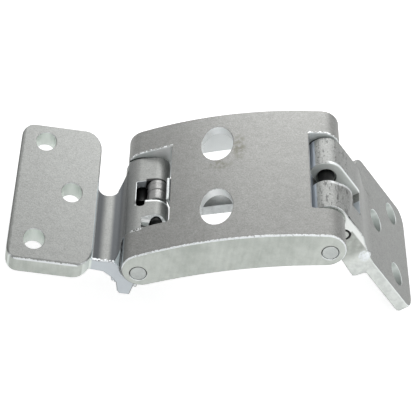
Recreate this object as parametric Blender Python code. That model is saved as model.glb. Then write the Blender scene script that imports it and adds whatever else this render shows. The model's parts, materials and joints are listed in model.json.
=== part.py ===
"""Van rear door hinge: a body leaf and a door leaf joined by a bowed centre link on two pins.

The hinge stands as it is bolted on: the body leaf's plate lies flat with its underside at Z = 0
and its middle at the origin, and both pins run along Y. Lengths are in metres.
"""
from math import asin, cos, degrees, radians, sin, sqrt

import bmesh
import bpy
from mathutils import Vector

MM = 0.001

# Joint pose: how far the link rises from the body leaf, and how far the door leaf falls from the link
LINK_RISE = radians(17.8)
DOOR_FALL = radians(65.5)

# Pins
PIN_SPACING = 94.0 * MM
PIN_RADIUS = 4.0 * MM
PIN_BEVEL = 0.4 * MM
PIN_SEAT_GAP = 0.25 * MM
RUNNING_GAP = 0.15 * MM
SEAT_GAP = 0.3 * MM
ROUND_STEPS = 32
QUARTER_TURN = 90

# Centre link: a bowed cover with two lugs at each end, hollow underneath
LINK_WIDTH = 99.2 * MM
LINK_CROWN = 15.7 * MM
LINK_SOLE = -4.7 * MM
CROWN_RADIUS = 235.0 * MM
SOLE_RADIUS = 300.0 * MM
LUG_CENTRE_INSET = 1.6 * MM
FRONT_LUG = 20.9 * MM
REAR_LUG = 18.9 * MM
WEB_THICKNESS = 4.6 * MM
FLANGE_THICKNESS = 4.2 * MM
BODY_WINDOW_DEPTH = 16.9 * MM
DOOR_WINDOW_DEPTH = 7.1 * MM
WINDOW_CORNER = 2.2 * MM
END_WALL = 4.2 * MM
DOOR_UNDERCUT = 3.6 * MM
RELIEF_HOLE_RADIUS = 8.26 * MM
RELIEF_HOLE_LENGTH = 26.9 * MM
RELIEF_HOLE_PITCH = 49.9 * MM
RELIEF_HOLE_OFFSET = -6.4 * MM
RELIEF_HOLE_SHIFT = 1.1 * MM

# Check spring: the bar under the cover that bears on the rollers
SPRING_HEIGHT = 5.7 * MM
SPRING_LIFT = 1.2 * MM
SPRING_WIDTH = 17.0 * MM
SPRING_CENTRE = 1.5 * MM
SPRING_FINGER = 1.6 * MM
SPRING_REACH = 2.9 * MM
SPRING_RISE = 7.6 * MM

# Knuckles
KNUCKLE_RADIUS = 9.2 * MM
LUG_RELIEF_GAP = 0.3 * MM
KNUCKLE_REAR_GAP = 1.5 * MM
BUSH_WALL = 0.75 * MM
BUSH_INSET = 1.0 * MM

# Body leaf
BODY_PLATE_WIDTH = 42.0 * MM
BODY_PLATE_LENGTH = 106.4 * MM
BODY_PLATE_THICKNESS = 8.5 * MM
BODY_PIN_HEIGHT = 5.2 * MM
BODY_PIN_REACH = 44.0 * MM
BODY_INNER_CORNER = 9.0 * MM
BODY_OUTER_CORNER = 6.0 * MM
CORNER_STRETCH = 1.65
BODY_HOLE_INSET = 14.7 * MM
BODY_HOLE_OUTER = -8.2 * MM
BODY_HOLE_INNER = 7.7 * MM
BODY_HOLE_SHIFT = 1.3 * MM
BODY_NECK_FRONT = -45.4 * MM
BODY_NECK_REAR = 25.0 * MM
BODY_NECK_HEIGHT = 6.8 * MM
BODY_NECK_WAVE = 0.3 * MM
BODY_NECK_DIP = 3.2 * MM
NECK_FILLET = 4.0 * MM
NECK_FILLET_X = 12.0 * MM
NECK_CORNER = (-9.3 * MM, -31.3 * MM, 3.0 * MM)
NECK_CORNER_TILT = radians(12.7)
NECK_CORNER_LEAN = radians(37.8)
NOTCH_BOTTOM = 4.6 * MM
NOTCH_RADIUS = 5.2 * MM
STOP_FOOT = ((-0.9, -12.2), (-2.2, -18.0), (-2.6, -18.4), (-7.2, -18.4), (-8.6, -16.6), (-9.7, -11.1),
             (-12.2, -8.6), (-16.9, -5.4))
BODY_KNUCKLE_FRONT_GAP = 0.5 * MM
BODY_SLOT_WIDTH = 15.0 * MM
BODY_SLOT_CENTRE = 2.7 * MM
BODY_SLOT_EDGE = -4.0 * MM
SLOT_FLOOR = -5.5 * MM
SLOT_POCKET = (-1.85 * MM, -7.1 * MM)
SLOT_POCKET_RADIUS = 2.1 * MM
SLOT_POCKET_FLOOR = 5.9 * MM
SPOTFACE_RADIUS = 7.7 * MM
SPOTFACE_DEPTH = 8.6 * MM
SPOTFACE_CHAMFER = 3.4 * MM

# Roller housing on the body leaf's knuckle
ROLLER_X = 6.7 * MM
ROLLER_Z = 6.7 * MM
ROLLER_RADIUS = 5.1 * MM
ROLLER_PIN_RADIUS = 3.1 * MM
ROLLER_PIN_DEPTH = 12.0 * MM
HOUSING_X = 6.5 * MM
HOUSING_Z = 4.4 * MM
HOUSING_RADIUS = 6.6 * MM

# Door leaf
DOOR_PLATE_THICKNESS = 6.8 * MM
DOOR_PLATE_TOP = 4.6 * MM
DOOR_PLATE_REACH = 76.3 * MM
DOOR_PLATE_START = 24.5 * MM
DOOR_FRONT_GAP = 3.4 * MM
DOOR_PLATE_LENGTH = 77.3 * MM
DOOR_NECK_END = 31.0 * MM
DOOR_NECK_SLOPE = (23.9 * MM, 7.2 * MM)
DOOR_NECK_SHOULDER = (19.8 * MM, 8.8 * MM)
DOOR_NECK_FLAT = 15.5 * MM
DOOR_OUTER_CORNER = 6.8 * MM
DOOR_INNER_CORNER = 8.0 * MM
DOOR_HOLE_PITCH = 24.0 * MM
DOOR_HOLE_OUTER = 61.7 * MM
DOOR_HOLE_INNER = 42.9 * MM
DOOR_HOLE_MIDDLE = 39.5 * MM
DOOR_SLOT_FRONT = -5.2 * MM
DOOR_SLOT_REAR = 8.3 * MM
DOOR_SLOT_END = 17.7 * MM
DOOR_EAR_X = 3.0 * MM
DOOR_EAR_Z = 3.2 * MM
DOOR_EAR_RADIUS = 8.8 * MM
DOOR_EAR_TILT = radians(6.3)
DOOR_GROOVE_START = 10.0 * MM
DOOR_GROOVE_LENGTH = 5.3 * MM
DOOR_GROOVE_DEPTH = 3.8 * MM
DOOR_FOOT_REACH = 39.0 * MM
DOOR_HEEL_REACH = 26.5 * MM
DOOR_FOOT_DEPTH = 8.8 * MM
STOP_PIN_X = 12.2 * MM
STOP_PIN_Z = 1.6 * MM
STOP_PIN_DEPTH = 15.0 * MM

# Fixing holes in both leaves
FIXING_RADIUS = 5.2 * MM
FIXING_LENGTH = 14.8 * MM
PLATE_EDGE = 0.8 * MM
CUT_MARGIN = 5.0 * MM

# Stations along the hinge line
LINK_FRONT = -LINK_WIDTH / 2
LINK_REAR = LINK_WIDTH / 2
WINDOW_FRONT = LINK_FRONT + FRONT_LUG
WINDOW_REAR = LINK_REAR - REAR_LUG
KNUCKLE_REAR = WINDOW_REAR - KNUCKLE_REAR_GAP
BODY_KNUCKLE_FRONT = WINDOW_FRONT + BODY_KNUCKLE_FRONT_GAP
DOOR_FRONT = WINDOW_FRONT + DOOR_FRONT_GAP
BORE_RADIUS = PIN_RADIUS + RUNNING_GAP + BUSH_WALL + SEAT_GAP / 2


def arc(centre, radius, start, end, steps, stretch=1.0):
    """Points on an arc, angles in degrees; stretch lengthens its second axis."""
    points = []
    for index in range(steps + 1):
        angle = radians(start + (end - start) * index / steps)
        points.append((centre[0] + radius * cos(angle), centre[1] + stretch * radius * sin(angle)))
    return points


def circle(centre, radius, steps=ROUND_STEPS):
    """Points once round a circle."""
    return arc(centre, radius, 0, 360 - 360 / steps, steps - 1)


def long_hole(centre, radius, length):
    """An oval outline, longer along its second axis."""
    return arc(centre, radius, 0, 360 - 360 / ROUND_STEPS, ROUND_STEPS - 1, length / (2 * radius))


def rounded_plate(low, high, corners, steps=6):
    """A rectangle with one corner radius each, from low x and low y, counter-clockwise."""
    points = []
    signs = ((-1, -1, 180), (1, -1, 270), (1, 1, 0), (-1, 1, 90))
    for (side, end, start), radius in zip(signs, corners):
        reach = radius * CORNER_STRETCH
        x = low[0] + radius if side < 0 else high[0] - radius
        y = low[1] + reach if end < 0 else high[1] - reach
        points += arc((x, y), radius, start, start + QUARTER_TURN, steps, CORNER_STRETCH)
    return points


def material(name, colour, roughness):
    """A plated steel finish."""
    finish = bpy.data.materials.new(name)
    finish.use_nodes = True
    shader = finish.node_tree.nodes["Principled BSDF"]
    shader.inputs["Base Color"].default_value = (*colour, 1)
    shader.inputs["Roughness"].default_value = roughness
    shader.inputs["Metallic"].default_value = 0.85
    finish.diffuse_color = (*colour, 1)
    return finish


def prism(name, outline, low, high, parent, along="Y", rim=0.0):
    """An outline carried from low to high along X (outline in Y, Z), Y (in X, Z) or Z (in X, Y)."""
    mesh = bmesh.new()
    axis = "XYZ".index(along)
    corners = []
    for first, second in outline:
        place = [first, second]
        place.insert(axis, low)
        corners.append(mesh.verts.new(place))
    travel = Vector((0, 0, 0))
    travel[axis] = high - low
    face = mesh.faces.new(corners)
    moved = bmesh.ops.extrude_face_region(mesh, geom=[face])["geom"]
    top = [item for item in moved if isinstance(item, bmesh.types.BMVert)]
    bmesh.ops.translate(mesh, vec=travel, verts=top)
    bmesh.ops.recalc_face_normals(mesh, faces=mesh.faces)
    if rim:
        ends = [f for f in mesh.faces if abs(f.normal.dot(travel.normalized())) > 0.99]
        edges = {edge for f in ends for edge in f.edges}
        bmesh.ops.bevel(mesh, geom=list(edges), offset=rim, segments=2, profile=0.5, affect="EDGES",
                        material=-1)
    return finish_mesh(name, mesh, parent)


def finish_mesh(name, mesh, parent):
    """Turn a bmesh into an object under its joint's empty, shaded smooth between sharp edges."""
    data = bpy.data.meshes.new(name)
    mesh.to_mesh(data)
    mesh.free()
    data.shade_smooth()
    data.set_sharp_from_angle(angle=radians(30))
    piece = bpy.data.objects.new(name, data)
    bpy.context.scene.collection.objects.link(piece)
    piece.parent = parent
    return piece


def combine(target, other, operation):
    """Cut another shape from the target, or join it on, and keep that shape as a hidden guide."""
    other.hide_render = True
    other.display_type = "WIRE"
    step = target.modifiers.new(other.name, "BOOLEAN")
    step.operation = operation
    step.solver = "EXACT"
    step.object = other


def cut(target, *cutters):
    for cutter in cutters:
        combine(target, cutter, "DIFFERENCE")


def join(target, *others):
    for other in others:
        combine(target, other, "UNION")


def ring(name, centre, outer, inner, low, high, parent):
    """A tube along Y."""
    tube = prism(name, circle(centre, outer), low, high, parent)
    cut(tube, prism(name + "_bore", circle(centre, inner), low - CUT_MARGIN, high + CUT_MARGIN, parent))
    return tube


def empty(name, location, turn, parent=None):
    """A joint's centre, turned about Y so that a positive turn lowers +X."""
    holder = bpy.data.objects.new(name, None)
    bpy.context.scene.collection.objects.link(holder)
    holder.parent = parent
    holder.location = location
    holder.rotation_euler = (0, turn, 0)
    return holder


def crown_height(x, drop=0.0):
    """Height of the link's crown over the line between the pins, x from the body pin."""
    radius = CROWN_RADIUS - drop
    return LINK_CROWN - CROWN_RADIUS + sqrt(radius ** 2 - (x - PIN_SPACING / 2) ** 2)


def sole_height(x):
    """Height of the link's lower edge over the line between the pins."""
    return LINK_SOLE - SOLE_RADIUS + sqrt(SOLE_RADIUS ** 2 - (x - PIN_SPACING / 2) ** 2)


def link_outline():
    """The link's side view: a bowed crown, a flatter sole and round lug ends."""
    half = PIN_SPACING / 2 - LUG_CENTRE_INSET
    lean_crown = degrees(asin(half / CROWN_RADIUS))
    lean_sole = degrees(asin(half / SOLE_RADIUS))
    x = PIN_SPACING / 2 + half
    height = (crown_height(x) + sole_height(x)) / 2
    radius = (crown_height(x) - sole_height(x)) / 2 * cos(radians((lean_crown + lean_sole) / 2))
    up = QUARTER_TURN
    door_end = arc((x, height), radius, -up - lean_sole, up - lean_crown, 12)
    crown = arc((PIN_SPACING / 2, LINK_CROWN - CROWN_RADIUS), CROWN_RADIUS,
                up - lean_crown, up + lean_crown, 24)
    body_end = [(PIN_SPACING - px, pz) for px, pz in reversed(door_end)]
    sole = arc((PIN_SPACING / 2, LINK_SOLE - SOLE_RADIUS), SOLE_RADIUS, up + lean_sole, up - lean_sole, 16)
    return door_end + crown[1:-1] + body_end + sole[1:-1]


def window_cutter(name, low_x, high_x, parent):
    """The gap between a pair of lugs, with rounded inner corners."""
    corners = (WINDOW_CORNER / CORNER_STRETCH,) * 4
    outline = rounded_plate((low_x, WINDOW_FRONT), (high_x, WINDOW_REAR), corners, 4)
    return prism(name, outline, -KNUCKLE_RADIUS * 2, LINK_CROWN * 2, parent, "Z")


def make_link(joint, finish):
    """The cast cover that carries both pins."""
    link = prism("center_link", link_outline(), LINK_FRONT, LINK_REAR, joint, rim=0.5 * MM)
    link.data.materials.append(finish)
    end = PIN_SPACING + KNUCKLE_RADIUS * 2
    door_edge = PIN_SPACING - DOOR_WINDOW_DEPTH
    cut(link, window_cutter("body_window", -KNUCKLE_RADIUS * 2, BODY_WINDOW_DEPTH, joint))
    cut(link, window_cutter("door_window", door_edge, end, joint))

    # The hollow under the cover follows the crown
    start = BODY_WINDOW_DEPTH + END_WALL
    wall = door_edge - DOOR_UNDERCUT
    stop = wall - END_WALL
    steps = 16
    stations = [start + (stop - start) * index / steps for index in range(steps + 1)]
    under = [(x, crown_height(x, WEB_THICKNESS)) for x in stations]
    hollow = under + [(stop, -LINK_CROWN), (start, -LINK_CROWN)]
    cut(link, prism("hollow", hollow, LINK_FRONT + FLANGE_THICKNESS, LINK_REAR - FLANGE_THICKNESS, joint))

    # The cover overhangs the door leaf's knuckle
    lip_height = crown_height(wall, WEB_THICKNESS)
    lip = [(wall, lip_height), (end, lip_height - WINDOW_CORNER), (end, -LINK_CROWN), (wall, -LINK_CROWN)]
    cut(link, prism("door_undercut", lip, WINDOW_FRONT, WINDOW_REAR, joint))

    # The check spring passes through both end walls
    front = SPRING_CENTRE - SPRING_WIDTH / 2 - SEAT_GAP
    rear = SPRING_CENTRE + SPRING_WIDTH / 2 + SEAT_GAP
    top = LINK_SOLE + SPRING_LIFT + SPRING_HEIGHT + SEAT_GAP
    tall = top + SPRING_RISE + SPRING_FINGER + CUT_MARGIN
    body_slot = [(BODY_WINDOW_DEPTH - CUT_MARGIN, -LINK_CROWN), (start + CUT_MARGIN, -LINK_CROWN),
                 (start + CUT_MARGIN, top), (start, top), (start, top + SPRING_FINGER),
                 (BODY_WINDOW_DEPTH - CUT_MARGIN, tall)]
    door_slot = [(stop - CUT_MARGIN, -LINK_CROWN), (wall + CUT_MARGIN, -LINK_CROWN),
                 (wall + CUT_MARGIN, top), (stop - CUT_MARGIN, top)]
    cut(link, prism("spring_slot_body", body_slot, front, rear, joint))
    cut(link, prism("spring_slot_door", door_slot, front, rear, joint))

    for number, sign in (("front", -1), ("rear", 1)):
        y = RELIEF_HOLE_SHIFT + sign * RELIEF_HOLE_PITCH / 2
        outline = long_hole((PIN_SPACING / 2 + RELIEF_HOLE_OFFSET, y), RELIEF_HOLE_RADIUS, RELIEF_HOLE_LENGTH)
        cut(link, prism("relief_hole_" + number, outline, -LINK_CROWN, LINK_CROWN * 2, joint, "Z"))
    for name, x in (("body", 0), ("door", PIN_SPACING)):
        bore = circle((x, 0), PIN_RADIUS + PIN_SEAT_GAP)
        cut(link, prism(name + "_pin_hole", bore, LINK_FRONT - CUT_MARGIN, LINK_REAR + CUT_MARGIN, joint))

    make_spring(joint, start, stop, wall)
    for name, x in (("body_pin", 0), ("door_pin", PIN_SPACING)):
        pin = prism(name, circle((x, 0), PIN_RADIUS), LINK_FRONT, LINK_REAR, joint, rim=PIN_BEVEL)
        pin.data.materials.append(bpy.data.materials["pin_steel"])


def make_spring(joint, start, stop, wall):
    """The check spring, a bar along the link's hollow with a finger that leans over the rollers."""
    low = LINK_SOLE + SPRING_LIFT
    top = low + SPRING_HEIGHT
    tip = BODY_WINDOW_DEPTH - SPRING_REACH
    finger = top + SPRING_RISE
    outline = [(BODY_WINDOW_DEPTH, low), (wall, low), (wall, top), (start - SPRING_FINGER, top),
               (BODY_WINDOW_DEPTH + SPRING_FINGER, top + SPRING_FINGER), (tip + SPRING_FINGER, finger),
               (tip, finger), (BODY_WINDOW_DEPTH - SPRING_FINGER, top)]
    front = SPRING_CENTRE - SPRING_WIDTH / 2
    spring = prism("check_spring", outline, front, front + SPRING_WIDTH, joint)
    spring.data.materials.append(bpy.data.materials["spring_steel"])


def make_body_leaf(joint, finish):
    """The leaf bolted to the body: a flat plate, a dropped neck with a stop foot, and a knuckle."""
    inner = BODY_PLATE_WIDTH / 2 - BODY_PIN_REACH
    outer = inner - BODY_PLATE_WIDTH
    underside = -BODY_PIN_HEIGHT
    plate_top = underside + BODY_PLATE_THICKNESS
    neck_top = underside + BODY_NECK_HEIGHT

    outline = rounded_plate((outer, -BODY_PLATE_LENGTH / 2), (inner, BODY_PLATE_LENGTH / 2),
                            (BODY_OUTER_CORNER, BODY_INNER_CORNER, BODY_INNER_CORNER, BODY_OUTER_CORNER))
    leaf = prism("body_leaf", outline, underside, plate_top, joint, "Z", rim=PLATE_EDGE)
    leaf.data.materials.append(finish)

    # The neck runs from under the plate's edge to the knuckle and ends in the foot that stops the lug;
    # its front corner is ground off beside the lug
    lug_relief = KNUCKLE_RADIUS + LUG_RELIEF_GAP
    crest = neck_top + BODY_NECK_WAVE
    neck = [(inner - CUT_MARGIN, crest), (inner, crest), (inner + BODY_NECK_DIP, neck_top - BODY_NECK_WAVE),
            (inner + 2 * BODY_NECK_DIP, neck_top)]
    neck += arc((-NECK_FILLET_X, neck_top + NECK_FILLET), NECK_FILLET, 3 * QUARTER_TURN, 335, 6)
    neck += [(0, KNUCKLE_RADIUS / 2), (0, -KNUCKLE_RADIUS / 2)]
    neck += [(x * MM, z * MM) for x, z in STOP_FOOT]
    neck += [(inner, underside + BODY_NECK_WAVE), (inner - CUT_MARGIN, underside + BODY_NECK_WAVE)]
    neck_block = prism("neck", neck, BODY_NECK_FRONT, BODY_NECK_REAR, joint, rim=PLATE_EDGE / 2)
    relief = circle((0, 0), lug_relief, 48)
    cut(neck_block, prism("lug_relief", relief, BODY_NECK_FRONT - CUT_MARGIN, BODY_KNUCKLE_FRONT, joint))
    reach = BODY_PIN_REACH / 2
    beyond = ((-reach, 0), (0, 0), (0, reach), (-reach, reach))
    corner = prism("neck_corner", beyond, -reach, reach, joint, "X")
    corner.location = NECK_CORNER
    corner.rotation_euler = (NECK_CORNER_TILT, NECK_CORNER_LEAN, 0)
    cut(neck_block, corner)

    # The neck's rear end is rounded out between plate and knuckle
    gap_centre = inner + NOTCH_RADIUS
    behind = BODY_NECK_REAR + CUT_MARGIN
    notch = [(inner - CUT_MARGIN * 2, NOTCH_BOTTOM + NOTCH_RADIUS)]
    notch += arc((gap_centre, NOTCH_BOTTOM + NOTCH_RADIUS), NOTCH_RADIUS, 180, 360, 10)
    notch += [(-KNUCKLE_RADIUS + PLATE_EDGE, BODY_NECK_REAR), (-KNUCKLE_RADIUS + PLATE_EDGE, behind),
              (inner - CUT_MARGIN * 2, behind)]
    cut(neck_block, prism("neck_notch", notch, -BODY_PIN_REACH, BODY_PIN_REACH, joint, "Z"))
    join(leaf, neck_block)

    # The knuckle is an egg shape that takes in the hinge pin and the roller pin
    lean = degrees(asin((KNUCKLE_RADIUS - HOUSING_RADIUS) / sqrt(HOUSING_X ** 2 + HOUSING_Z ** 2)))
    aim = degrees(asin(HOUSING_Z / sqrt(HOUSING_X ** 2 + HOUSING_Z ** 2)))
    egg = arc((HOUSING_X, HOUSING_Z), HOUSING_RADIUS, aim - QUARTER_TURN + lean,
              aim + QUARTER_TURN - lean, 12)
    egg += arc((0, 0), KNUCKLE_RADIUS, aim + QUARTER_TURN - lean, aim + 3 * QUARTER_TURN + lean, 24)
    join(leaf, prism("knuckle", egg, BODY_KNUCKLE_FRONT, KNUCKLE_REAR, joint, rim=PLATE_EDGE / 2))

    clear = KNUCKLE_RADIUS * 3
    slot = [(BODY_SLOT_EDGE, SLOT_FLOOR), (clear, SLOT_FLOOR), (clear, clear), (BODY_SLOT_EDGE, clear)]
    slot_front = BODY_SLOT_CENTRE - BODY_SLOT_WIDTH / 2
    slot_rear = BODY_SLOT_CENTRE + BODY_SLOT_WIDTH / 2
    cut(leaf, prism("roller_slot", slot, slot_front, slot_rear, joint))
    pocket = arc(SLOT_POCKET, SLOT_POCKET_RADIUS, 2 * QUARTER_TURN, 4 * QUARTER_TURN, 10)
    pocket += [(SLOT_POCKET[0] + SLOT_POCKET_RADIUS, BODY_SLOT_CENTRE),
               (SLOT_POCKET[0] - SLOT_POCKET_RADIUS, BODY_SLOT_CENTRE)]
    cut(leaf, prism("slot_pocket", pocket, SLOT_POCKET_FLOOR, KNUCKLE_RADIUS * 2, joint, "Z"))

    # Spot face and chamfer in front of the roller pin
    face = BODY_KNUCKLE_FRONT + SPOTFACE_DEPTH
    spot = circle((ROLLER_X, ROLLER_Z), SPOTFACE_RADIUS)
    cut(leaf, prism("spot_face", spot, BODY_KNUCKLE_FRONT - CUT_MARGIN, face, joint))
    cut(leaf, chamfer_wedge(face, joint))

    bore = circle((0, 0), BORE_RADIUS)
    cut(leaf, prism("body_bore", bore, BODY_KNUCKLE_FRONT - CUT_MARGIN, KNUCKLE_REAR + CUT_MARGIN, joint))
    roller_bore = circle((ROLLER_X, ROLLER_Z), ROLLER_PIN_RADIUS + PIN_SEAT_GAP)
    pin_end = slot_rear + ROLLER_PIN_DEPTH
    cut(leaf, prism("roller_bore", roller_bore, BODY_KNUCKLE_FRONT - CUT_MARGIN, pin_end + SEAT_GAP, joint))

    pitch = BODY_PLATE_LENGTH / 2 - BODY_HOLE_INSET
    holes = ((BODY_HOLE_OUTER, 1), (BODY_HOLE_INNER, 0), (BODY_HOLE_OUTER, -1))
    for number, (x, row) in enumerate(holes, 1):
        centre = (x - BODY_PIN_REACH, BODY_HOLE_SHIFT + row * pitch)
        outline = long_hole(centre, FIXING_RADIUS, FIXING_LENGTH)
        cut(leaf, prism("body_fixing_%d" % number, outline, -BODY_PIN_REACH, BODY_PIN_REACH, joint, "Z"))

    steel = bpy.data.materials["pin_steel"]
    round_pin = circle((ROLLER_X, ROLLER_Z), ROLLER_PIN_RADIUS, 24)
    pin = prism("roller_pin", round_pin, face + SEAT_GAP, pin_end, joint, rim=PIN_BEVEL)
    pin.data.materials.append(steel)
    length = (BODY_SLOT_WIDTH - 3 * SEAT_GAP) / 2
    for index, name in enumerate(("roller_front", "roller_rear")):
        low = slot_front + SEAT_GAP + index * (length + SEAT_GAP)
        inner = ROLLER_PIN_RADIUS + RUNNING_GAP
        roller = ring(name, (ROLLER_X, ROLLER_Z), ROLLER_RADIUS, inner, low, low + length, joint)
        roller.data.materials.append(steel)
    make_bushes("body", BODY_KNUCKLE_FRONT, slot_front, slot_rear, joint)


def chamfer_wedge(face, joint):
    """The sloping cut at the top of the knuckle's front end, over the roller pin."""
    crest = HOUSING_Z + HOUSING_RADIUS
    low = crest - SPOTFACE_CHAMFER
    above = crest + PLATE_EDGE
    profile = ((face - SPOTFACE_DEPTH * 2, low), (face, low), (face + SPOTFACE_CHAMFER + PLATE_EDGE, above),
               (face - SPOTFACE_DEPTH * 2, above))
    left = ROLLER_X - SPOTFACE_RADIUS
    return prism("knuckle_chamfer", profile, left, left + SPOTFACE_RADIUS * 3, joint, "X")


def make_bushes(leaf, front, slot_front, slot_rear, joint):
    """Two thin bushes that line a leaf's bore on both sides of its slot."""
    inner = PIN_RADIUS + RUNNING_GAP
    spans = (("front", front + BUSH_INSET, slot_front - BUSH_INSET),
             ("rear", slot_rear + BUSH_INSET, KNUCKLE_REAR - BUSH_INSET))
    for end, low, high in spans:
        bush = ring("%s_bush_%s" % (leaf, end), (0, 0), inner + BUSH_WALL, inner, low, high, joint)
        bush.data.materials.append(bpy.data.materials["bush_bronze"])


def make_door_leaf(joint, finish):
    """The leaf bolted to the door: a knuckle and neck in one thick block, and a thinner plate."""
    plate_rear = DOOR_FRONT + DOOR_PLATE_LENGTH
    underside = DOOR_PLATE_TOP - DOOR_PLATE_THICKNESS
    outline = rounded_plate((DOOR_PLATE_START, DOOR_FRONT), (DOOR_PLATE_REACH, plate_rear),
                            (DOOR_INNER_CORNER, DOOR_OUTER_CORNER, DOOR_OUTER_CORNER, DOOR_INNER_CORNER))
    leaf = prism("door_leaf", outline, underside, DOOR_PLATE_TOP, joint, "Z", rim=PLATE_EDGE)
    leaf.data.materials.append(finish)

    neck = arc((0, 0), KNUCKLE_RADIUS, 90, 262, 24)
    foot = -DOOR_FOOT_DEPTH
    neck += [(DOOR_HEEL_REACH, foot + PLATE_EDGE), (DOOR_FOOT_REACH - 4 * PLATE_EDGE, foot),
             (DOOR_FOOT_REACH - PLATE_EDGE, foot), (DOOR_FOOT_REACH, foot + 2 * PLATE_EDGE),
             (DOOR_FOOT_REACH + PLATE_EDGE, underside), (DOOR_NECK_END + CUT_MARGIN, DOOR_PLATE_TOP),
             (DOOR_NECK_END, DOOR_PLATE_TOP + PLATE_EDGE / 2), DOOR_NECK_SLOPE, DOOR_NECK_SHOULDER,
             (DOOR_NECK_FLAT, KNUCKLE_RADIUS)]
    join(leaf, prism("door_neck", neck, DOOR_FRONT, KNUCKLE_REAR, joint, rim=PLATE_EDGE / 2))

    # The front ear swells towards the slot, and a short groove runs out of the slot's corner
    ear = circle((DOOR_EAR_X, DOOR_EAR_Z), DOOR_EAR_RADIUS, 48)
    swell = prism("door_ear", ear, DOOR_FRONT + 2 * PLATE_EDGE, DOOR_SLOT_FRONT + PLATE_EDGE, joint)
    swell.rotation_euler = (DOOR_EAR_TILT, 0, 0)
    join(leaf, swell)
    deep = KNUCKLE_RADIUS - DOOR_GROOVE_DEPTH
    slope = DOOR_GROOVE_DEPTH / DOOR_GROOVE_LENGTH
    inside = DOOR_SLOT_FRONT + PLATE_EDGE
    run_out = DOOR_SLOT_FRONT - 2 * DOOR_GROOVE_LENGTH
    ramp = ((inside, deep - slope * PLATE_EDGE), (inside, deep + 3 * DOOR_GROOVE_DEPTH),
            (run_out, deep + 3 * DOOR_GROOVE_DEPTH), (run_out, deep + 2 * DOOR_GROOVE_DEPTH))
    cut(leaf, prism("door_groove", ramp, DOOR_GROOVE_START, DOOR_SLOT_END, joint, "X"))

    clear = KNUCKLE_RADIUS * 2
    slot = [(-clear, SLOT_FLOOR), (DOOR_SLOT_END, SLOT_FLOOR), (DOOR_SLOT_END, clear), (-clear, clear)]
    cut(leaf, prism("door_slot", slot, DOOR_SLOT_FRONT, DOOR_SLOT_REAR, joint))
    bore = circle((0, 0), BORE_RADIUS)
    cut(leaf, prism("door_bore", bore, DOOR_FRONT - CUT_MARGIN, KNUCKLE_REAR + CUT_MARGIN, joint))
    stop_hole = circle((STOP_PIN_X, STOP_PIN_Z), ROLLER_PIN_RADIUS + PIN_SEAT_GAP)
    stop_end = DOOR_FRONT + STOP_PIN_DEPTH
    cut(leaf, prism("stop_pin_hole", stop_hole, DOOR_FRONT - CUT_MARGIN, stop_end + SEAT_GAP, joint))

    middle = DOOR_FRONT + DOOR_HOLE_MIDDLE
    holes = ((DOOR_HOLE_OUTER, 1), (DOOR_HOLE_INNER, 0), (DOOR_HOLE_OUTER, -1))
    for number, (x, row) in enumerate(holes, 1):
        outline = long_hole((x, middle + row * DOOR_HOLE_PITCH), FIXING_RADIUS, FIXING_LENGTH)
        cut(leaf, prism("door_fixing_%d" % number, outline, -BODY_PIN_REACH, BODY_PIN_REACH, joint, "Z"))

    round_pin = circle((STOP_PIN_X, STOP_PIN_Z), ROLLER_PIN_RADIUS, 24)
    stop_pin = prism("door_stop_pin", round_pin, DOOR_FRONT, stop_end, joint, rim=PIN_BEVEL)
    stop_pin.data.materials.append(bpy.data.materials["pin_steel"])
    make_bushes("door", DOOR_FRONT, DOOR_SLOT_FRONT, DOOR_SLOT_REAR, joint)


def main():
    for piece in list(bpy.data.objects):
        bpy.data.objects.remove(piece)
    zinc = material("zinc_plate", (0.62, 0.63, 0.62), 0.5)
    material("pin_steel", (0.45, 0.46, 0.47), 0.4)
    material("spring_steel", (0.52, 0.54, 0.56), 0.35)
    material("bush_bronze", (0.45, 0.33, 0.16), 0.45)

    body_joint = empty("body_joint", (BODY_PIN_REACH, 0, BODY_PIN_HEIGHT), 0)
    link_joint = empty("link_joint", (0, 0, 0), -LINK_RISE, body_joint)
    door_joint = empty("door_joint", (PIN_SPACING, 0, 0), DOOR_FALL, link_joint)
    make_body_leaf(body_joint, zinc)
    make_link(link_joint, zinc)
    make_door_leaf(door_joint, zinc)


main()
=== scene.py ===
"""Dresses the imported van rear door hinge: rounded steel edges, zinc and bare steel finishes, studio."""
import json
from math import radians

import bmesh
import bpy
from mathutils import Euler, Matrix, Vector, noise

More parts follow.
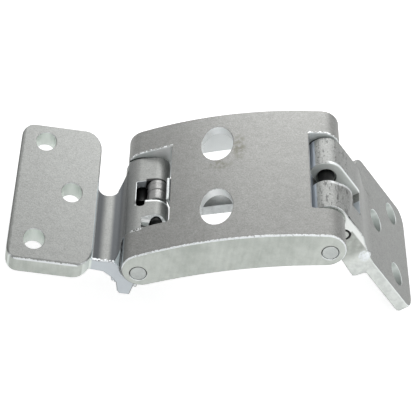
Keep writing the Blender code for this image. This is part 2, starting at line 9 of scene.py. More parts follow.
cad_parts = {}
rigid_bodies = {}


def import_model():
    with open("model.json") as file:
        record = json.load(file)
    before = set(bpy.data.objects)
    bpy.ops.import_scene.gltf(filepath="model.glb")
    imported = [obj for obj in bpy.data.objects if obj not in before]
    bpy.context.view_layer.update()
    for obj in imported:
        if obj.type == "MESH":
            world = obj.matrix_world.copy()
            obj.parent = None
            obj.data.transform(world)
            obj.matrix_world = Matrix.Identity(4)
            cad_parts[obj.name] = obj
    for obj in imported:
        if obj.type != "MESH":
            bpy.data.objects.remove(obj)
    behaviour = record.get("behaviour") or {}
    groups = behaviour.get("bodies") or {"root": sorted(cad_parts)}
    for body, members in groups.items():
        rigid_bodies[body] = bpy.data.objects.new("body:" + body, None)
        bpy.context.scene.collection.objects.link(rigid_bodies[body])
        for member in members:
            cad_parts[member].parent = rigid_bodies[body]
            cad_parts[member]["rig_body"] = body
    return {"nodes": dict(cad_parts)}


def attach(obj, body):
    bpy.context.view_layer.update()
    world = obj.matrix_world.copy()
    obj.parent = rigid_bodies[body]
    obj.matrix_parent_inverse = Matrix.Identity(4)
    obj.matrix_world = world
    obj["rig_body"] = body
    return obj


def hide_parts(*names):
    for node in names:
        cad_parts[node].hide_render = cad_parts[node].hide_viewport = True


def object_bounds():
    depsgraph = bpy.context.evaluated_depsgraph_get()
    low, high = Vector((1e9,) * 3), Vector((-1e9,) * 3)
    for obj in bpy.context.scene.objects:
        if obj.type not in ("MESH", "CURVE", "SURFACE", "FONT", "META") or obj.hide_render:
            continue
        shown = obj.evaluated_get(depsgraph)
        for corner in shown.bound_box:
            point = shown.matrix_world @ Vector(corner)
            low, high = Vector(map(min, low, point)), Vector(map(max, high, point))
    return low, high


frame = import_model()
cad_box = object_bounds()

# The body leaf is cast steel, zinc plated: a bolting plate with three oval holes, a dropped neck and
# a knuckle that is bored for the hinge pin and slotted for the rollers. The top keeps its dull, finely
# grained plating, while the cut ends are paler, the holes' walls carry painted light, and grease blackens
# the bore.


MIX_FIRST = 6
MIX_SECOND = 7
MIX_RESULT = 2


class Shade:
    """A socket in a material's node tree; plain arithmetic on it adds Math nodes."""

    def __init__(self, tree, socket=None):
        self.tree = tree
        self.socket = socket

    def node(self, kind, settings=None, values=None, output=0):
        """Add a node, set it up, fill or link its sockets, and wrap the output asked for."""
        made = self.tree.nodes.new(kind)
        for name, value in (settings or {}).items():
            setattr(made, name, value)
        for name, value in (values or {}).items():
            if isinstance(value, Shade):
                self.tree.links.new(value.socket, made.inputs[name])
            else:
                made.inputs[name].default_value = value
        return Shade(self.tree, made.outputs[output])

    def maths(self, operation, *values):
        return self.node("ShaderNodeMath", {"operation": operation}, dict(enumerate(values)))

    def __add__(self, other):
        return self.maths("ADD", self, other)

    __radd__ = __add__

    def __mul__(self, other):
        return self.maths("MULTIPLY", self, other)

    __rmul__ = __mul__

    def __sub__(self, other):
        return self.maths("SUBTRACT", self, other)

    def __rsub__(self, other):
        return self.maths("SUBTRACT", other, self)

    def vector(self, operation, other=(0, 0, 0), output="Vector"):
        return self.node("ShaderNodeVectorMath", {"operation": operation}, {0: self, 1: other}, output)

    def size(self):
        """The value without its sign."""
        return self.maths("ABSOLUTE", self)

    def either(self, other):
        """The larger of two factors."""
        return self.maths("MAXIMUM", self, other)

    def ramp(self, low, high):
        """0 below low, 1 above high, smooth between."""
        return self.node("ShaderNodeMapRange", {"interpolation_type": "SMOOTHSTEP"},
                         {"Value": self, "From Min": low, "From Max": high})

    def fall(self, low, high):
        """1 below low, 0 above high, smooth between."""
        return 1 - self.ramp(low, high)

    def mix(self, first, second):
        """A colour that goes from first to second as this factor rises."""
        colours = {MIX_FIRST: first, MIX_SECOND: second}
        for index, colour in colours.items():
            if not isinstance(colour, Shade):
                colours[index] = (*colour, 1)
        return self.node("ShaderNodeMix", {"data_type": "RGBA"}, {0: self, **colours}, MIX_RESULT)

    def noise(self, scale, detail=2.0, roughness=0.5):
        """Noise at this place, scale in cells to the metre."""
        return self.node("ShaderNodeTexNoise", None,
                         {"Vector": self, "Scale": scale, "Detail": detail, "Roughness": roughness})

    def stretched(self, scale):
        """This place scaled along its own axes, for marks that run one way."""
        return self.node("ShaderNodeMapping", None, {"Vector": self, "Scale": scale})

    def part(self, axis):
        """One coordinate of this vector: 0, 1 or 2."""
        return self.node("ShaderNodeSeparateXYZ", None, {"Vector": self}, axis)

    def along(self, direction):
        """How far this vector reaches in a direction."""
        return self.vector("DOT_PRODUCT", direction, "Value")

    def spot(self, centre, reach):
        """1 in the middle of a soft oval spot, 0 outside it."""
        scaled = self.vector("SUBTRACT", centre).stretched([1 / part for part in reach])
        return scaled.vector("LENGTH", output="Value").fall(0.35, 1.0)

    def from_axis(self, pin):
        """Distance from a line along Y through pin, given as its X and Z."""
        flat = self.vector("SUBTRACT", (pin[0], 0, pin[1])).stretched((1, 0, 1))
        return flat.vector("LENGTH", output="Value")


def finish(name, metallic, plain):
    """A new material, its Principled shader, and the place and normal that its expressions start from."""
    made = bpy.data.materials.new(name)
    made.use_nodes = True
    made.diffuse_color = (*plain, 1)
    shader = made.node_tree.nodes["Principled BSDF"]
    shader.inputs["Metallic"].default_value = metallic
    start = Shade(made.node_tree)
    place = start.node("ShaderNodeTexCoord", output="Object")
    return made, shader, place, start.node("ShaderNodeTexCoord", output="Normal")


def wire_up(shader, colour, roughness, height, depth):
    """Send a colour, a roughness and a height map to the shader."""
    tree = colour.tree
    tree.links.new(colour.socket, shader.inputs["Base Color"])
    tree.links.new(roughness.socket, shader.inputs["Roughness"])
    bump = colour.node("ShaderNodeBump", None, {"Height": height, "Strength": 1.0, "Distance": depth})
    tree.links.new(bump.socket, shader.inputs["Normal"])


UP = (0, 0, 1)
FRONT = (0, -1, 0)
PLATING = ((0.204, 0.208, 0.200), (0.388, 0.396, 0.384))
DULL_PLATING = ((0.165, 0.166, 0.158), (0.355, 0.357, 0.345))
CUT_GREENISH = ((0.42, 0.45, 0.415), (0.60, 0.63, 0.59))
# White for burrs, and for painted highlights on rims.
BURR_AND_HIGHLIGHT_WHITE = (0.88, 0.91, 0.92)
# Black for grease, and for painted shade in gaps, pockets and slots.
GREASE_AND_SHADE_BLACK = (0.012, 0.012, 0.012)
BORE_EDGE = 0.0043


def walls(normal, up):
    """1 on walls that stand along up, 0 on faces turned towards it or away."""
    return normal.along(up).size().fall(0.15, 0.4)


def zinc(name, up, pins, plating, cuts, paler=None, marks=None, rough=1.0):
    """Dull grained zinc plating on faces towards up, paler where cut, greasy round the pins' axes."""
    made, shader, place, normal = finish(name, 0.6, plating[1])
    facing = normal.along(up)
    square = normal.part(1).size()
    cloud = place.noise(48.0, 3.0, 0.5)
    blotch = place.noise(230.0, 3.0, 0.55)
    grain = place.noise(1500.0, 2.0, 0.6)
    coarse = place.noise(640.0, 2.0, 0.6)
    texture = (coarse * 0.3 + grain * 0.9 - 0.6) * rough
    tone = (cloud * 0.3 + blotch * 0.25 + texture + 0.22).ramp(0.0, 1.0)
    colour = tone.mix(*plating)
    flecks = place.noise(1100.0, 2.0, 0.7).ramp(0.60, 0.75) * rough
    colour = (flecks * 0.45).mix(colour, (0.10, 0.10, 0.095))

    cut = square.ramp(0.9, 0.98)
    if paler:
        cut = cut.either(paler(place) * walls(normal, up))
    streak = place.stretched((520.0, 520.0, 50.0)).noise(1.0, 2.0)
    pale = (cloud * 0.6 + streak * 0.25 + blotch * 0.4 + grain * 0.2).ramp(0.45, 0.95).mix(*cuts)
    colour = cut.mix(colour, pale)

    front = normal.along(FRONT)
    lip = front.ramp(0.25, 0.45) * front.fall(0.93, 0.98) * facing.ramp(0.1, 0.35)
    chips = place.noise(620.0, 2.0, 0.6).ramp(0.45, 0.65)
    colour = (lip * (chips * 0.45 + 0.5)).mix(colour, BURR_AND_HIGHLIGHT_WHITE)

    speck = place.noise(2400.0, 1.0).ramp(0.6, 0.74)
    colour = (speck * 0.2).mix(colour, (0.62, 0.63, 0.62))
    if marks:
        colour = marks(place, normal, colour)
    for pin in pins:
        greased = place.from_axis(pin).fall(BORE_EDGE, BORE_EDGE + 0.0004)
        colour = greased.mix(colour, GREASE_AND_SHADE_BLACK)
    roughness = 0.42 + cloud * 0.08 + grain * 0.1
    height = grain * 0.5 + coarse * 0.6 + blotch * 0.4 + cut * streak * 0.3
    wire_up(shader, colour, roughness, height, 0.0001)
    return made


WELD = 0.000004
FLAT = radians(0.4)


def packed_mesh(node):
    """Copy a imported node's mesh, weld its loose triangles and dissolve them into faces."""
    mesh = bmesh.new()
    mesh.from_mesh(frame["nodes"][node].data)
    bmesh.ops.remove_doubles(mesh, verts=mesh.verts, dist=WELD)
    bmesh.ops.dissolve_limit(mesh, angle_limit=FLAT, verts=mesh.verts, edges=mesh.edges)
    return mesh


def add_piece(name, mesh, body, look, edge=0.0, sharp=32, segments=3, share=None):
    """Make a bmesh into a smooth-shaded piece that rides on a body, its edges rounded."""
    weight = mesh.edges.layers.float.new("bevel_weight_edge")
    for line in mesh.edges:
        if line.calc_face_angle(0.0) > radians(sharp):
            line[weight] = share(line) if share else 1.0
    data = bpy.data.meshes.new(name)
    mesh.to_mesh(data)
    mesh.free()
    data.shade_smooth()
    data.materials.append(look)
    piece = bpy.data.objects.new(name, data)
    bpy.context.scene.collection.objects.link(piece)
    if edge:
        rounded = piece.modifiers.new("rounded edges", "BEVEL")
        rounded.width = edge
        rounded.segments = segments
        rounded.limit_method = "WEIGHT"
        rounded.use_clamp_overlap = False
        even = piece.modifiers.new("even shading", "WEIGHTED_NORMAL")
        even.mode = "FACE_AREA"
        even.weight = 100
    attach(piece, body)
    return piece


def dress(node, name, look, edge, sharp=32, segments=3, extra=None, share=None):
    """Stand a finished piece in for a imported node, with small casting marks added if given."""
    mesh = packed_mesh(node)
    if extra:
        extra(mesh)
    piece = add_piece(name, mesh, frame["nodes"][node]["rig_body"], look, edge, sharp, segments, share)
    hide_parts(node)
    return piece


LUMPS = 1.7
LUMP_HEIGHT = 0.22


def nub(mesh, centre, reach, twist):
    """A drip of metal left by the casting or the plating, sunk into the surface."""
    made = bmesh.ops.create_icosphere(mesh, subdivisions=2, radius=1.0)["verts"]
    for vert in made:
        swell = 1 + LUMP_HEIGHT * noise.noise(vert.co * LUMPS + Vector((twist, 0, 0)))
        vert.co = Vector(centre) + Vector([part * size * swell for part, size in zip(vert.co, reach)])


BODY_PIN = (0.044, 0.0052)
ROLLER_AXIS = (0.0507, 0.0119)
ROLLER_BORE = 0.0033
PLATE_EDGE = 0.0205
CREASE = (0.033, 0.038)


def body_plate(place):
    """Where the bolting plate is, left of the neck."""
    return place.part(0).fall(PLATE_EDGE, PLATE_EDGE + 0.001)


def band(value, low, high, soft=0.0003):
    """1 where a value is between two limits, with soft ends."""
    return value.ramp(low - soft, low + soft) * value.fall(high - soft, high + soft)


def neck_bands(place, normal, colour):
    """Painted shade in the neck's hollow on both sides of a bright ridge, painted bluish highlights, painted
    light on the cut face by the lug, and a chipped white front edge.
    """
    across = place.part(0)
    depth = place.part(1)
    top = normal.part(2).ramp(0.1, 0.3)
    # Painted shade: the dark bands in the neck's hollow stand for the shade it reflects.
    corner = across.ramp(0.0208, 0.0216) * across.fall(0.0232, 0.0270)
    slope = across.ramp(0.0282, 0.0308) * across.fall(0.0350, 0.0420)
    slope = slope * (1 - across.ramp(0.0330, 0.0350) * 0.45)
    colour = (corner * top * 0.97).mix(colour, (0.045, 0.05, 0.055))
    colour = (slope * top * 0.9).mix(colour, (0.06, 0.067, 0.075))
    # Painted highlight: a bluish light line where the neck meets the plate.
    plate_line = band(across, 0.0204, 0.0210, 0.0002) * top * depth.fall(0.005, 0.020)
    colour = (plate_line * 0.6).mix(colour, (0.70, 0.80, 0.84))
    ragged = depth + place.noise(430.0, 3.0, 0.6) * 0.0040
    chipped = ragged.fall(-0.0424, -0.0420) * top * across.ramp(PLATE_EDGE, PLATE_EDGE + 0.001)
    broken = place.noise(900.0, 2.0, 0.6).ramp(0.36, 0.50)
    colour = (chipped * broken).mix(colour, (0.93, 0.96, 0.98))
    # Painted reflection: bluish light on the neck's front faces.
    bluish = normal.along(FRONT).ramp(0.75, 0.9) * across.ramp(0.0195, 0.0215)
    colour = (bluish * 0.85).mix(colour, (0.60, 0.64, 0.68))
    # Painted light: the cut face towards the lug, which lies in shade, is made pale.
    painted_lit_cut_face = normal.part(0).ramp(0.45, 0.6) * depth.fall(-0.0312, -0.0304) * band(across, 0.030, 0.0385)
    return (painted_lit_cut_face * 0.9).mix(colour, (0.86, 0.91, 0.92))


def plate_edges(place, normal, colour):
    """Painted light on the walls of the plate's holes, a darker band just inside the plate's left and front
    edges, and a ragged bright front edge.
    """
    across = place.part(0)
    depth = place.part(1)
    # Painted reflection: the walls of the plate's holes are made pale for the light they catch.
    in_holes = walls(normal, UP) * across.ramp(-0.0200, -0.0195) * depth.size().fall(0.0505, 0.0515)
    colour = (in_holes * body_plate(place) * 0.85).mix(colour, (0.82, 0.87, 0.83))
    on_plate = body_plate(place) * normal.part(2).ramp(0.3, 0.6)
    wander = place.noise(260.0, 3.0, 0.6) * 0.0016
    left = (across - wander).fall(-0.0206, -0.0196)
    inside = (depth - wander).fall(-0.0527, -0.0516)
    colour = (left.either(inside) * on_plate * 0.6).mix(colour, (0.10, 0.105, 0.10))
    ragged = depth + place.noise(800.0, 3.0, 0.6) * 0.0018
    burr = ragged.fall(-0.0517, -0.0515)
    return (burr * on_plate * 0.85).mix(colour, BURR_AND_HIGHLIGHT_WHITE)


def body_marks(place, normal, colour):
    """Painted shadow by the rollers, painted highlights on the rims, and a painted reflection on the face
    round the roller pin.
    """
    colour = plate_edges(place, normal, neck_bands(place, normal, colour))
    around = place.from_axis(ROLLER_AXIS)
    depth = place.part(1)
    # Painted reflection: the face round the roller pin is made near white for the bright surroundings it
    # mirrors.
    face = around.fall(0.0074, 0.0080) * depth.fall(-0.0188, -0.0182)
    colour = (face * 0.95).mix(colour, (0.97, 0.98, 0.97))
    pin_hole = around.fall(ROLLER_BORE, ROLLER_BORE + 0.0004) * place.part(2).fall(0.0120, 0.0126)
    colour = (pin_hole * depth.fall(-0.0170, -0.0160)).mix(colour, GREASE_AND_SHADE_BLACK)
    right_of_pin = place.part(0).ramp(BODY_PIN[0], BODY_PIN[0] + 0.001)
    # Painted highlight: a bright band on the rim at the front of the roller slot.
    rim = band(depth, -0.0062, -0.0046) * around.fall(0.0070, 0.0074) * right_of_pin
    colour = (rim * normal.part(2).ramp(-0.1, 0.2)).mix(colour, (0.92, 0.95, 0.95))
    # Painted highlight: a thin light line on the slot's left top edge.
    left_rim = band(place.part(0), 0.0395, 0.0401, 0.0001) * band(depth, -0.0085, 0.0100)
    colour = (left_rim * normal.part(2).ramp(0.1, 0.4) * 0.8).mix(colour, BURR_AND_HIGHLIGHT_WHITE)
    # Painted shadow: a black ring in the gap behind the rollers and a black pocket in the slot.
    ring = around.fall(0.0071, 0.0074) * band(depth, 0.0090, 0.0119) * right_of_pin
    pocket = place.spot((0.0421, -0.0060, 0.0115), (0.0042, 0.0062, 0.0032)).ramp(0.05, 0.3)
    return ring.either(pocket).mix(colour, GREASE_AND_SHADE_BLACK)


def body_nubs(mesh):
    """Two drips under the neck's front end."""
    nub(mesh, (0.03265, -0.0443, -0.0048), (0.0011, 0.0009, 0.0011), 0.3)
    nub(mesh, (0.0340, -0.0444, -0.0060), (0.0007, 0.0006, 0.0007), 2.1)


def body_share(line):
    """How much of the rounding an edge gets: all on the plate, none in the crease behind the neck."""
    middle = (line.verts[0].co + line.verts[1].co) / 2
    if middle.x < PLATE_EDGE:
        return 1.0
    in_crease = not line.is_convex and CREASE[0] < middle.x < CREASE[1] and middle.z > 0.0
    return 0.0 if in_crease else 0.7


plated = zinc("zinc_body_leaf", UP, [BODY_PIN], PLATING, CUT_GREENISH, body_plate, body_marks, 0.9)
dress("body_leaf", "body_leaf_casting", plated, 0.0005, extra=body_nubs, share=body_share)

# The rollers turn on a short steel pin across the body leaf's slot. They are ground steel rings, and
# the pin's end is black with grease.


RING_LINES = (0.0027, 0.0073)
LINE_HALF = 0.00012
LINE_SOFT = 0.00008
WINDOW_REACH = 0.0335


def ground_steel(name, low, high, roughness, grime, span=0.0, lines=()):
    """Turned or ground steel with fine rings and dark lines round its axis; black inside span, for grease
    and painted shade.
    """
    made, shader, place, _ = finish(name, 0.75, high)
    rings = place.stretched((250.0, 3200.0, 250.0)).noise(1.0, 2.0)
    cloud = place.noise(210.0, 3.0)
    grain = place.noise(1500.0, 2.0)
    colour = (rings * 0.5 + cloud * 0.3 + grain * 0.3).ramp(0.3, 0.8).mix(low, high)
    colour = (cloud.ramp(0.42, 0.62) * grime).mix(colour, (0.05, 0.05, 0.05))
    for line in lines:
        groove = band(place.part(1), line - LINE_HALF, line + LINE_HALF, LINE_SOFT)
        colour = (groove * 0.8).mix(colour, GREASE_AND_SHADE_BLACK)
    # Painted shade and grease: black inside span, where a pin crosses the dark windows.
    if span:
        colour = place.part(1).size().fall(span, span + 0.001).mix(colour, GREASE_AND_SHADE_BLACK)
    wire_up(shader, colour, roughness + cloud * 0.12 + rings * 0.06, rings * 0.6 + cloud, 0.00004)
    return made


roller_steel = ground_steel("roller_steel", (0.17, 0.17, 0.165), (0.36, 0.36, 0.355), 0.3, 0.3,
                            lines=RING_LINES)
greased_steel = ground_steel("greased_steel", (0.012, 0.012, 0.012), (0.03, 0.03, 0.03), 0.4, 0.8)
pin_steel = ground_steel("pin_steel", (0.42, 0.44, 0.43), (0.56, 0.59, 0.57), 0.38, 0.1, WINDOW_REACH)

for end in ("front", "rear"):
    dress("roller_" + end, "check_roller_" + end, roller_steel, 0.0004, 40)
dress("roller_pin", "roller_axle", greased_steel, 0.0001, 40)

# Thin bushes of tinned bronze are pressed into the bores of both leaves. Their ends are pale and their
# insides greasy.

DOOR_PIN = (0.1335, 0.033935)


def tinned_bush(name, pin):
    """A pale dull metal that is black with grease near the pin."""
    made, shader, place, _ = finish(name, 0.6, (0.50, 0.53, 0.51))
    cloud = place.noise(260.0, 3.0)
    colour = cloud.ramp(0.35, 0.65).mix((0.42, 0.45, 0.43), (0.60, 0.63, 0.61))
    colour = place.from_axis(pin).fall(BORE_EDGE, BORE_EDGE + 0.0002).mix(colour, GREASE_AND_SHADE_BLACK)
    wire_up(shader, colour, 0.38 + cloud * 0.2, cloud, 0.00005)
    return made


for side, pin in (("body", BODY_PIN), ("door", DOOR_PIN)):
    bearing = tinned_bush("tinned_bush_" + side, pin)
    for end in ("front", "rear"):
        bush = frame["nodes"][side + "_bush_" + end].data
        bush.materials.clear()
        bush.materials.append(bearing)

# The centre link is the cast cover that both pins pass through: bowed on top, hollow below, with a
# window at each end for a leaf's knuckle and two big oval holes that lighten it. Oily fingers have
# left faint stains beside its rear hole.

LEFT = (-1, 0, 0)
LINK_UP = (-0.3057, 0, 0.9521)
STAIN = (0.125, 0.122, 0.085)
SHADOW_ARCS = (((0.0440, 0.0022), 0.0110), ((0.1334, 0.0320), 0.0094))


def link_holes(place):
    """Where the link's oval holes are."""
    across = place.part(0)
    return across.ramp(0.064, 0.066) * across.fall(0.092, 0.094)


def window_spans(place):
    """Where the two windows for the leaves' knuckles are, along the link."""
    across = place.part(0)
    return across.fall(0.0560, 0.0565).either(across.ramp(0.1225, 0.1230))


def hole_marks(place, normal, colour):
    """Painted reflection on the walls of the oval holes, made pale for the floor they mirror, and olive
    stains beside the rear one.
    """
    # Painted reflection: the holes' walls are made pale for the white floor they mirror.
    in_holes = link_holes(place) * walls(normal, LINK_UP) * place.part(1).size().fall(0.044, 0.045)
    colour = (in_holes * 0.95).mix(colour, (0.95, 0.97, 0.97))
    patch = place.spot((0.0888, 0.021, 0.036), (0.0042, 0.0135, 0.01))
    patch = patch.either(place.spot((0.0800, 0.0085, 0.033), (0.0075, 0.0045, 0.01)))
    mottled = place.noise(420.0, 3.0).ramp(0.35, 0.65)
    return (patch * mottled * 0.7).mix(colour, STAIN)


def window_marks(place, normal, colour):
    """Painted light on the walls inside the cover and its windows, a painted shadow line behind the front
    edge, a speckled rim, and painted shadow arcs on the rear wall.
    """
    depth = place.part(1)
    # Painted light: the inner walls of the hollow, in shade under the cover, are made pale.
    inward = (normal.part(1) * depth).fall(-0.035, -0.025)
    colour = (inward * 0.8).mix(colour, (0.92, 0.95, 0.96))
    # Painted shadow: a dark line just behind the cover's front edge.
    behind = band(depth, -0.0491, -0.0482, 0.0004)
    colour = (behind * 0.4).mix(colour, (0.16, 0.155, 0.15))
    back_wall = band(depth, 0.0290, 0.0313)
    ends = 1 - link_holes(place)
    # Painted light: the window walls are made pale, and the rear one near white where it is lit.
    walled = ends * band(depth, -0.0295, 0.0313) * normal.along(LINK_UP).size().fall(0.2, 0.45)
    colour = (walled * 0.7).mix(colour, (0.84, 0.88, 0.88))
    lit_end = walled * back_wall * band(place.part(0), 0.0475, 0.0565, 0.0020)
    colour = lit_end.mix(colour, (0.97, 0.98, 0.98))
    specks = place.noise(900.0, 2.0, 0.6).ramp(0.48, 0.58)
    top_rim = band(depth, 0.0305, 0.0319, 0.0002) * normal.along(LINK_UP).ramp(0.1, 0.3)
    colour = (top_rim * window_spans(place) * specks * 0.9).mix(colour, BURR_AND_HIGHLIGHT_WHITE)
    # Painted shadow: black arcs in the gaps between the rear wall and the knuckles.
    for centre, reach in SHADOW_ARCS:
        arc = band(place.from_axis(centre), reach - 0.0005, reach + 0.0003, 0.0002) * back_wall
        colour = (arc * 0.95).mix(colour, GREASE_AND_SHADE_BLACK)
    return colour


def link_rims(place, normal, colour):
    """The broken burr along the cover's front edge, a painted highlight on the end's rim and a painted
    bluish reflection on the front lug's left face, torn plating.
    """
    depth = place.part(1)
    ragged = depth + place.noise(700.0, 3.0, 0.6) * 0.0016
    burr = ragged.fall(-0.0480, -0.0478) * normal.along(LINK_UP).ramp(0.0, 0.3)
    broken = place.noise(1000.0, 2.0, 0.6).ramp(0.34, 0.48)
    colour = (burr * broken * 0.95).mix(colour, BURR_AND_HIGHLIGHT_WHITE)
    front = normal.along(FRONT)
    # Painted highlight: a bright line on the rounded rim at the link's right end.
    turned = front.ramp(0.25, 0.45) * front.fall(0.93, 0.98)
    end_rim = turned * depth.fall(-0.0490, -0.0485) * place.part(0).ramp(0.135, 0.140)
    colour = (end_rim * 0.9).mix(colour, BURR_AND_HIGHLIGHT_WHITE)
    # Painted reflection: bluish light on the lug's left-facing front face.
    lug_line = normal.along(LEFT).ramp(0.94, 0.985) * depth.fall(-0.0300, -0.0290)
    colour = (lug_line * 0.5).mix(colour, (0.70, 0.80, 0.85))
    flakes = place.spot((0.0412, -0.0296, 0.0152), (0.0048, 0.0012, 0.0040)).ramp(0.1, 0.4)
    torn = place.noise(1500.0, 2.0, 0.6)
    colour = (flakes * torn.ramp(0.50, 0.56)).mix(colour, (0.90, 0.92, 0.92))
    return (flakes * torn.fall(0.40, 0.46)).mix(colour, (0.06, 0.06, 0.06))


def link_marks(place, normal, colour):
    return link_rims(place, normal, window_marks(place, normal, hole_marks(place, normal, colour)))


def link_nubs(mesh):
    """A drip under the front lug."""
    nub(mesh, (0.04355, -0.0491, -0.0029), (0.0009, 0.0008, 0.0010), 1.2)


link_finish = zinc("zinc_centre_link", LINK_UP, [], DULL_PLATING, CUT_GREENISH, link_holes, link_marks,
                   0.95)
dress("center_link", "center_link_cover", link_finish, 0.0004, extra=link_nubs)

# The check spring is a rolled bar along the link's hollow, held where it passes through the end walls.

spring_steel = ground_steel("spring_steel", (0.50, 0.52, 0.52), (0.72, 0.75, 0.75), 0.35, 0.15)
dress("check_spring", "check_spring_bar", spring_steel, 0.0005)

# The two hinge pins are pressed through the link's lugs. Their ends stand flush with the lugs'
# faces and are bright, while the middles are painted black, for grease and for the shade in the windows.

for side in ("body", "door"):
    dress(side + "_pin", side + "_hinge_pin", pin_steel, 0.0001, 40)

# The door leaf is a second zinc-plated casting: a thick neck with a slotted knuckle, and a thinner
# bolting plate that slopes down and away from the pin. Its knuckle is pitted and scratched.

DOOR_ALONG = (0.6730, 0, -0.7396)
DOOR_UP = (0.7396, 0, 0.6730)
STOP_AXIS = (0.14289, 0.02599)
STOP_RADIUS = 0.0031
DOOR_FRONT_RIM = -0.0240
DOOR_REAR_RIM = 0.0505
DOOR_PLATE_START = 0.0302
DOOR_PLATE_TOP = 0.0030


def door_place(place):
    """How far a place is from the door pin, along the leaf and above it."""
    centre = Vector((DOOR_PIN[0], 0, DOOR_PIN[1]))
    along = place.along(DOOR_ALONG) - centre.dot(DOOR_ALONG)
    return along, place.along(DOOR_UP) - centre.dot(DOOR_UP)


def door_plate(place, normal, colour):
    """Painted light and shade on the walls of the plate's holes, dull at their front ends, with a painted
    highlight on the rim at the rear ends.
    """
    along, _ = door_place(place)
    forward = normal.along(FRONT)
    plate = along.ramp(0.031, 0.032)
    wall = plate * walls(normal, DOOR_UP)
    colour = (wall * 0.8).mix(colour, (0.45, 0.475, 0.46))
    # Painted light and shade: walls that face the front are made pale, those that face away dull.
    lit = forward.ramp(-0.2, 0.7).mix((0.27, 0.29, 0.28), (0.84, 0.89, 0.86))
    colour = (wall * place.part(1).ramp(DOOR_FRONT_RIM, DOOR_FRONT_RIM + 0.001) * 0.9).mix(colour, lit)
    # Painted highlight: a bright line on the holes' rims.
    hole_rim = plate * band(normal.along(DOOR_UP), 0.3, 0.85, 0.1) * forward.ramp(-0.5, 0.3)
    return (hole_rim * 0.85).mix(colour, (0.90, 0.94, 0.94))


def door_knuckle(place, normal, colour):
    """Painted bluish light under the cover's edge, painted highlights on the rims at the slot and painted
    light on the wall in it.
    """
    along, _ = door_place(place)
    depth = place.part(1)
    forward = normal.along(FRONT)
    barrel = place.from_axis(DOOR_PIN).fall(0.0108, 0.0115)
    # Painted reflection: bluish light on the barrel under the cover's edge.
    painted_bluish_light = barrel * place.part(0).fall(0.1262, 0.1272) * forward.size().fall(0.3, 0.5)
    colour = (painted_bluish_light * 0.85).mix(colour, (0.66, 0.72, 0.82))
    # Painted highlight: bright bands on the chamfered rims at the slot.
    rear_rim = band(depth, 0.0080, 0.0099) * along.fall(0.0175, 0.0180)
    front_rim = band(depth, -0.0072, -0.0049) * along.fall(0.0085, 0.0100)
    top = normal.along(DOOR_UP).ramp(0.0, 0.2)
    rims = rear_rim.either(front_rim * 0.6) * top * along.ramp(-0.0080, -0.0060)
    colour = (rims * 0.9).mix(colour, BURR_AND_HIGHLIGHT_WHITE)
    # Painted light: the ear's front face in the slot, which lies in shade, is made pale.
    cheek = forward.ramp(0.75, 0.85) * band(depth, 0.0074, 0.0090)
    return (cheek * 0.9).mix(colour, (0.93, 0.96, 0.93))


def door_front(place, normal, colour):
    """The smeared front face, dull on the neck and pale on the plate, with a painted highlight along the
    crest and on a lump.
    """
    along, above = door_place(place)
    facing = normal.along(FRONT).ramp(0.75, 0.85)
    front = facing * place.part(1).fall(DOOR_FRONT_RIM, DOOR_FRONT_RIM + 0.001)
    smear = place.noise(330.0, 3.0, 0.6).ramp(0.35, 0.65)
    far = along.ramp(0.024, 0.030)
    colour = (front * (smear * 0.4 + 0.2) * (1 - far)).mix(colour, (0.30, 0.31, 0.29))
    colour = (front * far * (smear * 0.35 + 0.55)).mix(colour, (0.78, 0.81, 0.78))
    # Painted highlight: the rounded top edge of the front face.
    crest = place.from_axis(DOOR_PIN).ramp(0.0080, 0.0088) * along.fall(0.012, 0.013)
    crest = crest * above.ramp(0.0, 0.003)
    crest = crest.either(above.ramp(0.0056, 0.0066) * along.ramp(0.008, 0.010))
    colour = (front * crest * 0.9).mix(colour, (0.93, 0.95, 0.93))
    # Painted highlight: bluish white on the lump.
    lump = place.spot((0.1556, -0.0258, 0.0140), (0.0042, 0.0024, 0.0052)).ramp(0.1, 0.8)
    rough = place.noise(800.0, 3.0, 0.6).ramp(0.35, 0.6)
    return (lump * (rough * 0.6 + 0.25)).mix(colour, (0.90, 0.94, 0.97))


def door_marks(place, normal, colour):
    """Pits and scratches on the barrels under all the other marks, and painted bluish light in the groove at
    the slot's end.
    """
    along, above = door_place(place)
    pits = place.noise(620.0, 2.0, 0.6).ramp(0.60, 0.68)
    scratches = place.stretched((900.0, 150.0, 900.0)).noise(1.0, 3.0, 0.6).ramp(0.57, 0.65)
    barrel = place.from_axis(DOOR_PIN).fall(0.0108, 0.0115)
    colour = (pits.either(scratches) * barrel * 0.75).mix(colour, (0.07, 0.07, 0.07))
    for layer in (door_plate, door_knuckle, door_front):
        colour = layer(place, normal, colour)
    # Painted light: bluish light on the groove's lower walls.
    groove = band(place.part(1), -0.0080, 0.0020) * along.ramp(0.0135, 0.0140) * along.fall(0.024, 0.025)
    groove = groove * normal.along(DOOR_UP).fall(0.0, 0.2) * above.ramp(-0.001, 0.001)
    return (groove * 0.8).mix(colour, (0.70, 0.76, 0.82))


def door_share(line):
    """How much of the rounding an edge gets: none on the plate's front and rear rims."""
    middle = (line.verts[0].co + line.verts[1].co) / 2
    outward = middle - Vector((DOOR_PIN[0], 0, DOOR_PIN[1]))
    rim = middle.y < DOOR_FRONT_RIM or middle.y > DOOR_REAR_RIM
    on_plate = outward.dot(DOOR_ALONG) > DOOR_PLATE_START and outward.dot(DOOR_UP) > DOOR_PLATE_TOP
    return 0.0 if rim and on_plate else 1.0


def door_nubs(mesh):
    """A lump on the front face, where the neck meets the plate."""
    nub(mesh, (0.1556, -0.0245, 0.0140), (0.0033, 0.0012, 0.0040), 4.0)


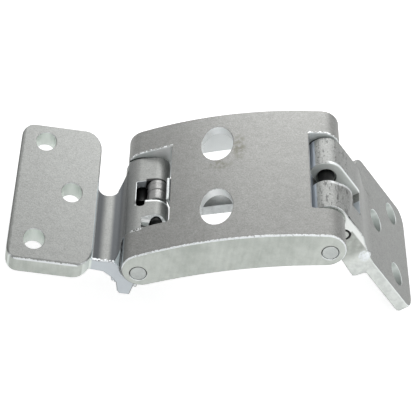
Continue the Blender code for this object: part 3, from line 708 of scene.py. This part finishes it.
def stop_steel():
    """The cut end of the stop pin, pale, with a painted shadow crescent on its outer side."""
    made, shader, place, _ = finish("stop_steel", 0.6, (0.55, 0.57, 0.54))
    cloud = place.noise(330.0, 3.0, 0.6)
    colour = cloud.ramp(0.35, 0.65).mix((0.40, 0.42, 0.39), (0.58, 0.60, 0.57))
    # Painted shadow: a dark crescent at the pin's outer edge, where its hole is in shade.
    crescent = place.from_axis(STOP_AXIS).ramp(STOP_RADIUS - 0.0009, STOP_RADIUS - 0.0007)
    crescent = crescent * place.part(0).ramp(STOP_AXIS[0] - 0.0005, STOP_AXIS[0] + 0.0003)
    wire_up(shader, crescent.mix(colour, GREASE_AND_SHADE_BLACK), 0.4 + cloud * 0.1, cloud, 0.00005)
    return made


door_finish = zinc("zinc_door_leaf", DOOR_UP, [DOOR_PIN], PLATING, CUT_GREENISH, None, door_marks)
dress("door_leaf", "door_leaf_casting", door_finish, 0.00035,
      extra=door_nubs, share=door_share)
dress("door_stop_pin", "door_stop", stop_steel(), 0.0001, 40)

# The studio: a white floor and a white surround, which the camera and the metal both see as white,
# and a large soft lamp behind and above the hinge with a weaker one in front.

FLOOR_SIZE = 6.0
FLOOR_GAP = 0.0005
floor_mesh = bmesh.new()
bmesh.ops.create_grid(floor_mesh, x_segments=1, y_segments=1, size=FLOOR_SIZE / 2)
bmesh.ops.translate(floor_mesh, verts=floor_mesh.verts, vec=(0, 0, cad_box[0].z - FLOOR_GAP))
floor_data = bpy.data.meshes.new("floor")
floor_mesh.to_mesh(floor_data)
floor_mesh.free()
floor = bpy.data.objects.new("floor", floor_data)
bpy.context.scene.collection.objects.link(floor)

paper = bpy.data.materials.new("white_paper")
paper.use_nodes = True
paper_shader = paper.node_tree.nodes["Principled BSDF"]
paper_shader.inputs["Base Color"].default_value = (0.8, 0.8, 0.8, 1)
paper_shader.inputs["Roughness"].default_value = 0.9
paper_shader.inputs["Emission Strength"].default_value = 1.0
paper_shade = Shade(paper.node_tree)
seen = paper_shade.node("ShaderNodeLightPath", output="Is Camera Ray")
mirrored = paper_shade.node("ShaderNodeLightPath", output="Is Glossy Ray")
glow = seen.either(mirrored).mix((0, 0, 0), (0.75, 0.75, 0.75))
paper.node_tree.links.new(glow.socket, paper_shader.inputs["Emission Color"])
floor_data.materials.append(paper)

world = bpy.data.worlds.new("surround")
world.use_nodes = True
bpy.context.scene.world = world
surround = Shade(world.node_tree)
seen = surround.node("ShaderNodeLightPath", output="Is Camera Ray")
mirrored = surround.node("ShaderNodeLightPath", output="Is Glossy Ray")
through = surround.node("ShaderNodeLightPath", output="Is Transmission Ray")
background = world.node_tree.nodes["Background"]
backdrop = seen.either(mirrored).either(through).mix((0.35, 0.355, 0.36), (1, 1, 1))
world.node_tree.links.new(backdrop.socket, background.inputs["Color"])
background.inputs["Strength"].default_value = 1.0


def soft_lamp(name, place, aim, width, height, power):
    """A large rectangular lamp, turned towards a point."""
    lamp = bpy.data.lights.new(name, "AREA")
    lamp.shape = "RECTANGLE"
    lamp.size = width
    lamp.size_y = height
    lamp.energy = power
    holder = bpy.data.objects.new(name, lamp)
    bpy.context.scene.collection.objects.link(holder)
    holder.location = place
    holder.rotation_euler = (Vector(aim) - Vector(place)).to_track_quat("-Z", "Y").to_euler()


soft_lamp("back_lamp", (0.11, 0.29, 0.20), (0.09, 0.03, 0.02), 0.30, 0.12, 0.6)
soft_lamp("front_lamp", (0.35, -0.60, 0.20), (0.07, 0.0, 0.0), 0.5, 0.5, 1.15)

# The camera stands where the photograph was taken from, 0.9 m away with a long lens.

camera = bpy.data.cameras.new("camera")
camera.sensor_width = 36.0
camera.lens = 161.067
camera.clip_start = 0.05
camera.clip_end = 20.0
tripod = bpy.data.objects.new("camera", camera)
bpy.context.scene.collection.objects.link(tripod)
tripod.location = (-0.008888, -0.721759, 0.610457)
tripod.rotation_euler = Euler((radians(49.8857), radians(-9.0027), radians(0.7305)), "XYZ")
bpy.context.scene.camera = tripod
bpy.context.scene.view_settings.view_transform = "Standard"
